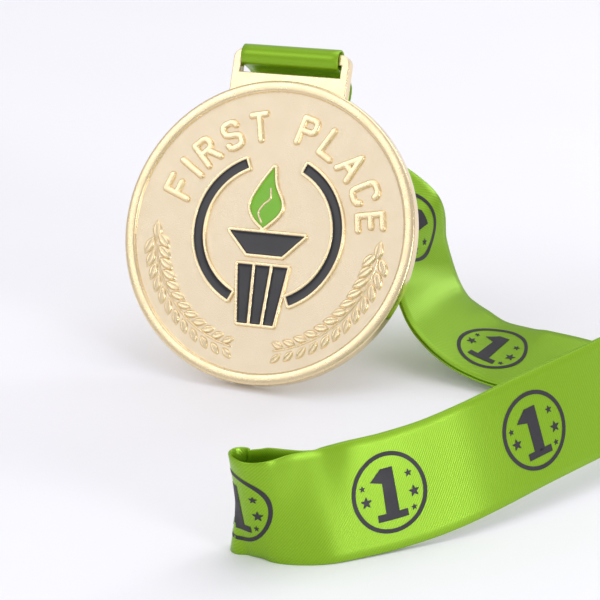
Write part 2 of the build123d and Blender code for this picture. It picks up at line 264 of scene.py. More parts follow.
@dataclass(frozen=True)
class Satin:
    """Woven satin, with slanted ribs on the band, a soft sheen along it and a painted highlight on its raised
    threads.
    """

    name: str
    color: tuple[float, float, float]
    # the colour of the painted highlight on the weave's raised threads
    bright: tuple[float, float, float]
    weave: float = 0.55

    def build(self) -> bpy.types.Material:
        """Makes the weave from the band's own length and width, kept in its UV map in millimetres.

        Returns:
            The material.
        """
        material, tree, principled = Shader(self.name).start(self.color, 0.32, 0.42)
        link = tree.links.new
        tangent = node(tree, "ShaderNodeTangent", direction_type="UV_MAP", uv_map="cloth")
        link(tangent.outputs["Tangent"], principled.inputs["Tangent"])
        principled.inputs["Anisotropic"].default_value = 0.8
        principled.inputs["Anisotropic Rotation"].default_value = 0.25
        principled.inputs["Specular IOR Level"].default_value = 0.55
        place = node(tree, "ShaderNodeUVMap", uv_map="cloth")
        spin = node(tree, "ShaderNodeMapping")
        spin.inputs["Rotation"].default_value = (0, 0, math.radians(38))
        twill = node(tree, "ShaderNodeTexWave", Scale=0.62, Distortion=0.6, Detail=1.0)
        link(place.outputs["UV"], spin.inputs["Vector"])
        link(spin.outputs["Vector"], twill.inputs["Vector"])
        stretch = node(tree, "ShaderNodeMapping")
        stretch.inputs["Scale"].default_value = (5.0, 1.1, 1)
        threads = node(tree, "ShaderNodeTexNoise", Scale=1.5, Detail=3.0)
        link(place.outputs["UV"], stretch.inputs["Vector"])
        link(stretch.outputs["Vector"], threads.inputs["Vector"])
        both = node(tree, "ShaderNodeMix", data_type="FLOAT")
        both.inputs[0].default_value = 0.5
        link(twill.outputs["Fac"], both.inputs[2])
        link(threads.outputs["Fac"], both.inputs[3])
        Grain().emboss(tree, both.outputs[0], principled.inputs["Normal"], self.weave, 0.00006)
        # painted highlight and painted shade on a real weave: raised threads take the bright colour and
        # grooves the plain one, by the bump's own height
        blend_color(tree, both.outputs[0], self.color, self.bright, principled.inputs["Base Color"])
        return material


@dataclass(frozen=True)
class Matte:
    """A matt finish with the shared grain: printing ink, sewing thread or a painted table."""

    name: str
    color: tuple[float, float, float]
    deep: tuple[float, float, float]
    roughness: float
    grain_scale: float
    grain: float = 0.2
    glow: float = 0.0

    def build(self) -> bpy.types.Material:
        """Makes the finish, its colour and roughness drifting with the grain.

        Returns:
            The material.
        """
        material, tree, principled = Shader(self.name).start(self.color, self.roughness, 0.0)
        grain = Grain().place(tree, self.grain_scale, self.roughness - 0.06, self.roughness + 0.08)
        blend_color(tree, grain.outputs["Height"], self.color, self.deep, principled.inputs["Base Color"])
        tree.links.new(grain.outputs["Roughness"], principled.inputs["Roughness"])
        Grain().emboss(tree, grain.outputs["Height"], principled.inputs["Normal"], self.grain, 0.00008)
        principled.inputs["Emission Color"].default_value = (*self.color, 1)
        principled.inputs["Emission Strength"].default_value = self.glow
        return material


# ------------------------------------------------------------------ mesh helpers
def mesh_object(
    name: str,
    points: Iterable[Sequence[float]],
    faces: Iterable[Sequence[int]],
    materials: Sequence[bpy.types.Material],
    indices: Sequence[int] | None = None,
) -> bpy.types.Object:
    """Makes a smooth mesh object in the row frame.

    Args:
        name: the piece's name.
        points: vertices in metres.
        faces: faces as vertex indices.
        materials: its material slots.
        indices: the slot of each face, or None for the first.

    Returns:
        The object, linked to the scene.
    """
    mesh = bpy.data.meshes.new(name)
    mesh.from_pydata([tuple(p) for p in points], [], [tuple(f) for f in faces])
    for material in materials:
        mesh.materials.append(material)
    mesh.polygons.foreach_set("use_smooth", [True] * len(mesh.polygons))
    if indices is not None:
        mesh.polygons.foreach_set("material_index", [int(i) for i in indices])
    mesh.update()
    made = bpy.data.objects.new(name, mesh)
    bpy.context.collection.objects.link(made)
    return made


def soft_step(x: np.ndarray) -> np.ndarray:
    """0 below 0, 1 above 1 and smooth between."""
    t = np.clip(x, 0.0, 1.0)
    return t * t * (3 - 2 * t)


def segment_distance(x: np.ndarray, y: np.ndarray, line: Sequence[Point]) -> np.ndarray:
    """Finds how far points lie from an open line of straight segments.

    Args:
        x: places across the face in mm.
        y: places up the face in mm.
        line: the line's corners.

    Returns:
        The distance of each point in mm.
    """
    best = np.full(x.shape, 1e9)
    for (x1, y1), (x2, y2) in zip(line, line[1:]):
        dx, dy = x2 - x1, y2 - y1
        size = dx * dx + dy * dy or 1e-12
        t = np.clip(((x - x1) * dx + (y - y1) * dy) / size, 0, 1)
        best = np.minimum(best, np.hypot(x - x1 - t * dx, y - y1 - t * dy))
    return best


def outline_distance(x: np.ndarray, y: np.ndarray, outline: Sequence[Point]) -> np.ndarray:
    """Finds how far points lie from a closed outline.

    Args:
        x: places across the face in mm.
        y: places up the face in mm.
        outline: the outline's corners, the first not repeated.

    Returns:
        The distance of each point in mm, negative inside the outline.
    """
    ring = list(outline) + [outline[0]]
    inside = np.zeros(x.shape, bool)
    for (x1, y1), (x2, y2) in zip(ring, ring[1:]):
        crosses = (y1 > y) != (y2 > y)
        with np.errstate(divide="ignore", invalid="ignore"):
            inside ^= crosses & (x < (x2 - x1) * (y - y1) / (y2 - y1 + 1e-12) + x1)
    distance = segment_distance(x, y, ring)
    return np.where(inside, -distance, distance)


@dataclass
class Patches:
    """Height patches laid on the medal's face, gathered into one mesh."""

    points: list = field(default_factory=list)
    faces: list = field(default_factory=list)
    slots: list = field(default_factory=list)
    skirt: float = 0.2

    def grid(
        self, lows: Point, highs: Point, pitch: float, height: Height, slot: int = 0, floor: float = -0.12
    ) -> None:
        """Adds a patch and drops the part of it that lies below the floor.

        Args:
            lows: the patch's low corner on the face, in mm.
            highs: its high corner.
            pitch: grid pitch in mm.
            height: height over the face at each point, in mm.
            slot: its material slot.
            floor: cells wholly below this height are left out.
        """
        nx = max(2, int(math.ceil((highs[0] - lows[0]) / pitch)) + 1)
        ny = max(2, int(math.ceil((highs[1] - lows[1]) / pitch)) + 1)
        x, y = np.meshgrid(np.linspace(lows[0], highs[0], nx), np.linspace(lows[1], highs[1], ny))
        self.surface(x, y, height(x, y), slot, floor)

    def surface(self, x: np.ndarray, y: np.ndarray, z: np.ndarray, slot: int, floor: float) -> None:
        """Adds the cells of a grid of points that reach above the floor.

        Args:
            x: places across the face in mm.
            y: places up the face in mm.
            z: heights over the medal's middle plane in mm.
            slot: the cells' material slot.
            floor: cells wholly below this height are left out.
        """
        rows, columns = x.shape
        keep = np.maximum.reduce([z[:-1, :-1], z[1:, :-1], z[1:, 1:], z[:-1, 1:]]) > floor
        index = -np.ones(x.shape, int)
        used = np.zeros(x.shape, bool)
        used[:-1, :-1] |= keep
        used[1:, :-1] |= keep
        used[:-1, 1:] |= keep
        used[1:, 1:] |= keep
        index[used] = np.arange(used.sum()) + len(self.points)
        sunk = np.maximum(z[used], floor - self.skirt)
        self.points.extend(zip(x[used].tolist(), y[used].tolist(), sunk.tolist()))
        j, i = np.nonzero(keep)
        quads = np.stack([index[j, i], index[j, i + 1], index[j + 1, i + 1], index[j + 1, i]], 1)
        self.faces.extend(quads.tolist())
        self.slots.extend([slot] * len(quads))


# ------------------------------------------------------------------ the medal
@dataclass(frozen=True)
class MedalFrame:
    """Where the medal leans: its middle and the directions across, up and out of its face."""

    lean: float = 28.0
    roll: float = 2.5
    radius: float = 37.5
    thickness: float = 4.0
    field_level: float = 1.2
    bar_height: float = 43.55

    @property
    def axes(self) -> tuple[Vector, Vector, Vector]:
        """Directions across, up and out of the face.

        Returns:
            Three unit vectors.
        """
        s, c = math.sin(math.radians(self.lean)), math.cos(math.radians(self.lean))
        rs, rc = math.sin(math.radians(self.roll)), math.cos(math.radians(self.roll))
        across = Vector((rc, rs * s, rs * c))
        out = Vector((0, -c, s))
        return across, out.cross(across), out

    @property
    def middle(self) -> Vector:
        """The disc's middle in the row frame.

        Returns:
            The place in mm.
        """
        s, c = math.sin(math.radians(self.lean)), math.cos(math.radians(self.lean))
        half = self.thickness / 2
        return Vector((0, self.radius * s - half * c, self.radius * c + half * s)) + SHIFT

    @property
    def bar(self) -> Vector:
        """The middle of the hanger's bar, in mm."""
        return self.middle + self.axes[1] * self.bar_height

    @property
    def matrix(self) -> Matrix:
        """The change from millimetres on the medal to metres in the row frame.

        Returns:
            The matrix.
        """
        across, up, out = self.axes
        turn = Matrix((across, up, out)).transposed().to_4x4()
        return Matrix.Translation(self.middle * MM) @ turn @ Matrix.Scale(MM, 4)


@dataclass(frozen=True)
class Letters:
    """Block letters drawn as strokes in a cell one unit high."""

    words: str = "FIRST PLACE"
    height: float = 6.3
    stretch: float = 1.08
    stroke: float = 1.9
    radius: float = 26.2
    middle: float = 85.0
    gap: float = 1.8
    word_gap: float = 5.2

    @staticmethod
    def strokes(letter: str) -> list[list[Point]]:
        """Draws a letter.

        Args:
            letter: one of the letters in the words.

        Returns:
            Its centre lines in a cell one unit high.
        """
        bowl = [(0, 0), (0, 1), (0.38, 1), (0.49, 0.95), (0.53, 0.85)]
        table = {
            "F": [[(0, 0), (0, 1), (0.55, 1)], [(0, 0.52), (0.45, 0.52)]],
            "I": [[(0, 0), (0, 1)]],
            "R": [bowl + [(0.53, 0.69), (0.49, 0.59), (0.38, 0.54), (0, 0.54)], [(0.3, 0.54), (0.56, 0)]],
            "S": [
                [(0.53, 0.84), (0.48, 0.95), (0.36, 1), (0.16, 1), (0.04, 0.94), (0, 0.84), (0, 0.7)]
                + [(0.04, 0.6)]
                + [(0.14, 0.54), (0.4, 0.46), (0.5, 0.4), (0.54, 0.3), (0.54, 0.16), (0.5, 0.06), (0.38, 0)]
                + [(0.16, 0), (0.04, 0.05), (0, 0.16)]
            ],
            "T": [[(0, 1), (0.56, 1)], [(0.28, 1), (0.28, 0)]],
            "P": [bowl + [(0.53, 0.65), (0.49, 0.55), (0.38, 0.5), (0, 0.5)]],
            "L": [[(0, 1), (0, 0), (0.5, 0)]],
            "A": [[(0, 0), (0.3, 1), (0.6, 0)], [(0.11, 0.36), (0.49, 0.36)]],
            "C": [
                [(0.54, 0.82), (0.5, 0.94), (0.38, 1), (0.16, 1), (0.04, 0.94), (0, 0.82), (0, 0.18)]
                + [(0.04, 0.06), (0.16, 0), (0.38, 0), (0.5, 0.06), (0.54, 0.18)]
            # the second colour is the painted highlight on the raised threads of the weave
            ],
            "E": [[(0.52, 1), (0, 1), (0, 0), (0.52, 0)], [(0, 0.52), (0.44, 0.52)]],
        }
        return table[letter]

    def width(self, letter: str) -> float:
        """Width of a letter's centre lines in mm."""
        return max(x for line in self.strokes(letter) for x, _ in line) * self.height * self.stretch

    def placed(self) -> Iterable[tuple[float, float, list[list[Point]]]]:
        """Spaces the letters along their arc.

        Yields:
            Each letter's angle in radians, its width in mm and its strokes in mm about its middle.
        """
        cursor, spots = 0.0, []
        for letter in self.words:
            if letter == " ":
                cursor += self.word_gap
                continue
            width = self.width(letter) + self.stroke
            spots.append((letter, cursor + width / 2, width))
            cursor += width + self.gap
        half = (cursor - self.gap) / 2
        for letter, spot, width in spots:
            shift = self.width(letter) / 2
            lines = [
                [(x * self.height * self.stretch - shift, (y - 0.5) * self.height) for x, y in line]
                for line in self.strokes(letter)
            ]
            yield math.radians(self.middle) - (spot - half) / self.radius, width, lines


@dataclass(frozen=True)
class Emblem:
    """The torch and the broken ring around it, on the medal's face, in mm."""

    ring_radius: float = 18.0
    ring_band: float = 2.15
    ring_gap_half: float = 25.0
    wall: float = 0.9
    bowl_top_half: float = 9.6
    bowl_foot_half: float = 4.6
    bowl_top: float = -0.4
    bowl_foot: float = -5.6
    grip_top_half: float = 6.4
    grip_foot_half: float = 4.6
    grip_top: float = -8.4
    grip_foot: float = -22.6
    flute_gap: float = 0.9

    def ring_half(self) -> float:
        """Half the sweep of one arc, in radians."""
        return math.radians(90 - self.ring_gap_half)

    def arc_grid(
        self, middle: float, beyond: float, margin: float, around: int, rows: int
    ) -> tuple[np.ndarray, np.ndarray]:
        """Lays a grid over one arc of the ring.

        Args:
            middle: the angle of the arc's middle, in radians.
            beyond: how far the grid runs past each end of the arc, in mm along the ring.
            margin: how far it reaches past the sides of the arc's band, in mm.
            around: how many points it has along the arc.
            rows: how many points it has across the band.

        Returns:
            The angle and the radius of each point.
        """
        radius, band = self.ring_radius, self.ring_band / 2
        half = self.ring_half() + beyond / radius
        angles = np.linspace(middle - half, middle + half, around)
        angle, reach = np.meshgrid(angles, np.linspace(radius - band - margin, radius + band + margin, rows))
        return angle, reach

    def bowl(self) -> list[Point]:
        """The bowl's outline."""
        top, foot = self.bowl_top_half, self.bowl_foot_half
        return [(-top, self.bowl_top), (-foot, self.bowl_foot), (foot, self.bowl_foot), (top, self.bowl_top)]

    def flute(self, number: int) -> list[Point]:
        """Outlines one of the grip's flutes.

        Args:
            number: -1, 0 or 1, from the left.

        Returns:
            The flute's four corners.
        """
        top = (2 * self.grip_top_half - 2 * self.flute_gap) / 3
        foot = (2 * self.grip_foot_half - 2 * self.flute_gap) / 3
        top_x, foot_x = number * (top + self.flute_gap), number * (foot + self.flute_gap)
        return [
            (top_x - top / 2, self.grip_top),
            (foot_x - foot / 2, self.grip_foot),
            (foot_x + foot / 2, self.grip_foot),
            (top_x + top / 2, self.grip_top),
        ]

    def flame(self) -> list[Point]:
        """The flame's outline, a broad foot and a tip that leans over.

        Returns:
            The outline's corners.
        """
        right = [(-1.3, 1.0), (2.05, 4.4), (2.6, 7.2), (0.46, 11.4), (-0.4, 15.8)]
        left = [(-0.4, 15.8), (-3.25, 11.2), (-5.2, 6.6), (-4.1, 3.4), (-1.3, 1.0)]
        return smooth_line(right, 10)[:-1] + smooth_line(left, 10)[:-1]

    def vein(self) -> list[Point]:
        """The gold line that divides the flame's inner tongue."""
        return smooth_line([(-1.9, 2.2), (-3.0, 4.4), (-1.9, 6.6), (-0.4, 8.2), (-0.6, 10.6)], 8)


def catmull_blend(
    a: np.ndarray, b: np.ndarray, c: np.ndarray, d: np.ndarray, t: float | np.ndarray
) -> np.ndarray:
    """Blends four neighbours between the middle two.

    Args:
        a: the one before.
        b: the one the span starts at.
        c: the one it ends at.
        d: the one after.
        t: how far along the span, 0 to 1.

    Returns:
        The blended value.
    """
    square = (2 * a - 5 * b + 4 * c - d) * t**2
    cube = (3 * b - a - 3 * c + d) * t**3
    return 0.5 * (2 * b + (c - a) * t + square + cube)


def smooth_line(points: Sequence[Point], steps: int) -> list[Point]:
    """Runs a Catmull-Rom line through points.

    Args:
        points: the points it passes through.
        steps: how many parts each span is cut into.

    Returns:
        The line's points.
    """
    p = np.array([points[0], *points, points[-1]], float)
    made = []
    for i in range(1, len(p) - 2):
        for t in np.arange(steps) / steps:
            a, b, c, d = p[i - 1 : i + 3]
            made.append(tuple(catmull_blend(a, b, c, d, t)))
    return made + [tuple(p[-2])]


@dataclass
class Medal:
    """The die-cast medal with its relief and enamel."""

    frame: MedalFrame
    metal: dict[Face, bpy.types.Material]
    black: bpy.types.Material
    green: bpy.types.Material
    relief: float = 0.6
    rim_width: float = 2.9
    hanger_half: float = 15.15
    hanger_top: float = 44.9
    hanger_corner: float = 2.4
    hanger_foot_radius: float = 36.2
    hanger_half_depth: float = 1.22
    hanger_edge: float = 0.28
    slot_half: float = 13.15
    slot_low: float = 39.1
    slot_high: float = 42.2
    leaf_rows: int = 12
    leaf_start: float = 189.5
    leaf_step: float = 6.1
    leaf_stagger: float = 1.6
    leaf_slant: float = 34.0
    leaf_half: float = 2.5
    stem_radius: float = 29.2
    enamel_rise: float = 0.37
    enamel_lip: float = 0.07
    letters: Letters = Letters()
    emblem: Emblem = Emblem()

    def build(self) -> None:
        """Builds the body and the enamel, and lets each stand for its CAD node."""
        self.body()
        self.enamel()

    def place(self, piece: bpy.types.Object, nodes: Sequence[str], slot: str) -> bpy.types.Object:
        """Puts a piece made in medal millimetres into the row frame and onto the medal's body.

        Args:
            piece: the piece.
            nodes: the CAD nodes it stands for.
            slot: the name of its finish; not used.

        Returns:
            The piece.
        """
        piece.data.transform(self.frame.matrix)
        piece.data.update()
        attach(piece, "medal")
        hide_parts(*nodes)
        log.info("%s stands for %s", piece.name, ", ".join(nodes))
        return piece

    # -------- the metal
    def lathe(self) -> Patches:
        """Turns the disc: field, step, rim, edge and back.

        Returns:
            The disc's patches, with their finishes as slots.
        """
        r, level, half = self.frame.radius, self.frame.field_level, self.frame.thickness / 2
        inner = r - self.rim_width
        profile = [(0.0, level), (12.0, level), (24.0, level), (inner - 0.3, level)]
        profile += [(inner - 0.05, level + 0.02)]
        profile += [(inner + 0.06, level + 0.12), (inner + 0.16, level + 0.5)]
        profile += [(inner + 0.34, level + 0.68), (inner + 0.75, half - 0.04), (inner + 1.5, half)]
        profile += [(r - 0.9, half - 0.03), (r - 0.42, half - 0.12), (r - 0.14, half - 0.3), (r, half - 0.62)]
        profile += [(r, 0.0), (r, -half + 0.5), (r - 0.13, -half + 0.16), (r - 0.45, -half)]
        profile += [(r - 2.6, -half), (r - 2.7, -half + 0.08), (r - 2.8, -half + 0.1)]
        profile += [(16.0, -half + 0.1), (0.0, -half + 0.1)]
        finishes = [Face.FIELD] * 4 + [Face.RELIEF] * 9 + [Face.EDGE] * 4
        finishes += [Face.RELIEF] * 3 + [Face.FIELD] * 2
        made = Patches()
        turns = 288
        for radius, z in profile:
            for k in range(turns):
                angle = 2 * math.pi * k / turns
                made.points.append((radius * math.cos(angle), radius * math.sin(angle), z))
        for index, finish in enumerate(finishes):
            for k in range(turns):
                a, b = index * turns + k, index * turns + (k + 1) % turns
                made.faces.append((a, a + turns, b + turns, b))
                made.slots.append(finish)
        return made

    def relief_patches(self, made: Patches) -> None:
        """Adds the letters, the sprigs and the walls around the enamel.

        Args:
            made: the patches they join.
        """
        for angle, width, lines in self.letters.placed():
            self.letter(made, angle, width, lines)
        self.sprigs(made)
        self.walls(made)

    def letter(self, made: Patches, angle: float, width: float, lines: list[list[Point]]) -> None:
        """Adds one raised letter with a soft edge and a slightly domed top.

        Args:
            made: the patches it joins.
            angle: where its middle stands on the arc, in radians.
            width: its width in mm.
            lines: its strokes in mm about its middle.
        """
        margin, pitch = 0.6, 0.13
        half, level = self.letters.stroke / 2, self.frame.field_level
        reach_x = width / 2 + margin
        reach_y = (self.letters.height + self.letters.stroke) / 2 + margin
        nx, ny = int(2 * reach_x / pitch) + 1, int(2 * reach_y / pitch) + 1
        u, v = np.meshgrid(np.linspace(-reach_x, reach_x, nx), np.linspace(-reach_y, reach_y, ny))
        away = np.minimum.reduce([segment_distance(u, v, line) for line in lines])
        rise = soft_step((half + 0.12 - away) / 0.5)
        dome = 0.08 * np.clip(1 - (away / half) ** 2, 0, 1)
        z = level - 0.14 + (self.relief + 0.14) * rise + dome
        out, along = (math.cos(angle), math.sin(angle)), (math.sin(angle), -math.cos(angle))
        x = out[0] * (self.letters.radius + v) + along[0] * u
        y = out[1] * (self.letters.radius + v) + along[1] * u
        made.surface(x, y, z, Face.RELIEF, level - 0.1)

    def sprigs(self, made: Patches) -> None:
        """Adds two leafy sprigs low on the field, each with a stem.

        Args:
            made: the patches they join.
        """
        level, stem_radius = self.frame.field_level, self.stem_radius
        for side in (-1, 1):
            for number in range(self.leaf_rows):
                long = self.leaf_half - 0.06 * number
                for row in (-1, 1):
                    turn = self.leaf_start + self.leaf_step * number + (self.leaf_stagger if row > 0 else 0.0)
                    middle = 29.1 + 0.04 * number + row * (1.95 - 0.035 * number)
                    self.leaf(made, turn, middle, turn - 90 - row * self.leaf_slant, side, long)
            self.leaf(made, 184.0, 29.0, 96.0, side, self.leaf_half)
            turns = [math.radians(degrees) for degrees in range(187, 263, 4)]
            stem = [(stem_radius * math.cos(t) * -side, stem_radius * math.sin(t)) for t in turns]
            xs, ys = [p[0] for p in stem], [p[1] for p in stem]

            def rib(x: np.ndarray, y: np.ndarray) -> np.ndarray:
                """Height of the stem's rib."""
                return level - 0.1 + 0.42 * soft_step((0.36 - segment_distance(x, y, stem)) / 0.3)

            lows, highs = (min(xs) - 0.6, min(ys) - 0.6), (max(xs) + 0.6, max(ys) + 0.6)
            made.grid(lows, highs, 0.2, rib, Face.RELIEF, level - 0.06)

    def leaf(self, made: Patches, turn: float, radius: float, point: float, side: int, long: float) -> None:
        """Adds one pointed leaf with a sunk middle vein.

        Args:
            made: the patches it joins.
            turn: where it stands round the disc, in degrees.
            radius: how far it stands from the disc's middle, in mm.
            point: which way it points, in degrees.
            side: -1 for the left sprig, 1 for its mirror image.
            long: half its length in mm.
        """
        wide, level = long * 0.5, self.frame.field_level
        u, v = np.meshgrid(np.linspace(-long - 0.3, long + 0.3, 31), np.linspace(-wide - 0.3, wide + 0.3, 19))
        edge = wide * (1 - (u / long) ** 2) - np.abs(v)
        vein = 0.16 * np.exp(-((v / 0.16) ** 2)) * (edge > 0.1)
        z = level - 0.12 + 0.62 * soft_step((edge + 0.14) / 0.5) - vein
        a, t = math.radians(point), math.radians(turn)
        x = radius * math.cos(t) + u * math.cos(a) - v * math.sin(a)
        y = radius * math.sin(t) + u * math.sin(a) + v * math.cos(a)
        if side > 0:
            x, y, z = -x[:, ::-1], y[:, ::-1], z[:, ::-1]
        made.surface(x, y, z, Face.RELIEF, level - 0.08)

    def walls(self, made: Patches) -> None:
        """Adds the thin raised walls that hold the enamel.

        Args:
            made: the patches they join.
        """
        level, wall, e = self.frame.field_level, self.emblem.wall, self.emblem

        def rim(away: np.ndarray) -> np.ndarray:
            """Height of a wall at a distance outside its cell."""
            band = wall / 2 + 0.1 - np.abs(away - wall / 2)
            return level - 0.15 + (self.relief + 0.15) * soft_step(band / 0.24)

        outlines = [e.bowl(), e.flute(-1), e.flute(0), e.flute(1), e.flame()]

        def torch(x: np.ndarray, y: np.ndarray) -> np.ndarray:
            """Height of the walls around the bowl, the grip and the flame.

            Args:
                x: places across the face in mm.
                y: places up the face in mm.

            Returns:
                The height of each point in mm.
            """
            distances = [outline_distance(x, y, outline) for outline in outlines]
            inside = np.minimum.reduce(distances)
            height = np.maximum.reduce([rim(d) for d in distances])
            from_vein = segment_distance(x, y, e.vein())
            vein = level - 0.15 + (self.relief + 0.1) * soft_step((0.42 - from_vein) / 0.24)
            height = np.where(inside < 0, np.minimum(height, rim(inside)), height)
            return np.maximum(height, np.where(distances[4] < 0, vein, level - 0.2))

        made.grid((-11.4, -24.2), (11.4, 18.4), 0.125, torch, Face.RELIEF, level - 0.1)
        for middle in (0.0, math.pi):
            t, r = e.arc_grid(middle, wall + 0.4, wall + 0.4, 300, 44)
            ends = (np.abs(t - middle) - e.ring_half()) * e.ring_radius
            sides = np.abs(r - e.ring_radius) - e.ring_band / 2
            away = np.where((ends > 0) & (sides > 0), np.hypot(ends, sides), np.maximum(ends, sides))
            made.surface(r * np.cos(t), r * np.sin(t), rim(away), Face.RELIEF, level - 0.1)

    def hanger(self, made: Patches) -> None:
        """Adds the slotted tab over the disc, a flat plate with soft edges.

        Args:
            made: the patches it joins.
        """
        curve = bpy.data.curves.new("hanger", "CURVE")
        curve.dimensions, curve.fill_mode = "2D", "BOTH"
        curve.extrude, curve.bevel_depth, curve.bevel_resolution = self.hanger_half_depth, self.hanger_edge, 3
        curve.offset = -self.hanger_edge
        w, top, c = self.hanger_half, self.hanger_top, self.hanger_corner
        foot = [(x, math.sqrt(self.hanger_foot_radius**2 - x * x)) for x in np.linspace(w, -w, 25)]
        outer = [(-w, top - c)]
        quarter = np.linspace(0, math.pi / 2, 9)
        outer += [(-w + c - c * math.cos(a), top - c + c * math.sin(a)) for a in quarter[1:]]
        outer += [(w - c + c * math.sin(a), top - c + c * math.cos(a)) for a in quarter]
        outer += foot
        h, low, high = self.slot_half, self.slot_low, self.slot_high
        slot = [(-h, low), (h, low), (h, high), (-h, high)]
        for line in (outer, slot):
            spline = curve.splines.new("POLY")
            spline.points.add(len(line) - 1)
            for knot, (x, y) in zip(spline.points, line):
                knot.co = (x, y, 0, 1)
            spline.use_cyclic_u = True
        holder = bpy.data.objects.new("hanger", curve)
        bpy.context.collection.objects.link(holder)
        mesh = bpy.data.meshes.new_from_object(holder.evaluated_get(bpy.context.evaluated_depsgraph_get()))
        start = len(made.points)
        made.points.extend(tuple(v.co) for v in mesh.vertices)
        for polygon in mesh.polygons:
            made.faces.append(tuple(start + i for i in polygon.vertices))
            made.slots.append(Face.EDGE if abs(polygon.normal.z) < 0.5 else Face.RELIEF)
        bpy.data.objects.remove(holder)

    def body(self) -> None:
        """Makes the whole die-cast piece as one mesh and dresses it."""
        made = self.lathe()
        self.relief_patches(made)
        self.hanger(made)
        slots = [self.metal[face] for face in Face]
        piece = mesh_object("medal_casting", made.points, made.faces, slots, made.slots)
        self.place(piece, ["medal_body"], "pale_gold")
        self.sharpen(piece)

    def sharpen(self, piece: bpy.types.Object) -> None:
        """Keeps flat faces flat beside their rounded edges."""
        modifier = piece.modifiers.new("normals", "WEIGHTED_NORMAL")
        modifier.keep_sharp = True

    # -------- the enamel
    def enamel(self) -> None:
        """Makes the fills, a little below their walls and climbing them at the edge."""
        level, e = self.frame.field_level, self.emblem
        shapes = {
            "bowl_enamel": (e.bowl(), self.black, "black_enamel"),
            "flute_enamel_left": (e.flute(-1), self.black, "black_enamel"),
            "flute_enamel_middle": (e.flute(0), self.black, "black_enamel"),
            "flute_enamel_right": (e.flute(1), self.black, "black_enamel"),
            "flame_enamel": (e.flame(), self.green, "green_enamel"),
        }

        def pool(away: np.ndarray) -> np.ndarray:
            """Height of the enamel at a signed distance from its cell's edge."""
            lip = self.enamel_lip * np.exp(np.minimum(away, 0) / 0.28)
            return np.where(away < 0.12, level + self.enamel_rise + lip, level - 0.1)

        for name, (outline, material, slot) in shapes.items():

            def filled(x: np.ndarray, y: np.ndarray, outline: Sequence[Point] = outline) -> np.ndarray:
                """Height of the enamel in this cell."""
                return pool(outline_distance(x, y, outline))

            made = Patches()
            xs, ys = [p[0] for p in outline], [p[1] for p in outline]
            lows, highs = (min(xs) - 0.2, min(ys) - 0.2), (max(xs) + 0.2, max(ys) + 0.2)
            made.grid(lows, highs, 0.16, filled, 0, level)
            piece = mesh_object(name + "_fill", made.points, made.faces, [material])
            self.place(piece, [name], slot)
        for name, middle in (("ring_enamel_right", 0.0), ("ring_enamel_left", math.pi)):
            made = Patches()
            t, r = e.arc_grid(middle, 0.1, 0.1, 180, 15)
            ends = (np.abs(t - middle) - e.ring_half()) * r
            sides = np.abs(r - e.ring_radius) - e.ring_band / 2
            made.surface(r * np.cos(t), r * np.sin(t), pool(np.maximum(ends, sides)), 0, level)
            piece = mesh_object(name + "_fill", made.points, made.faces, [self.black])
            self.place(piece, [name], "black_enamel")


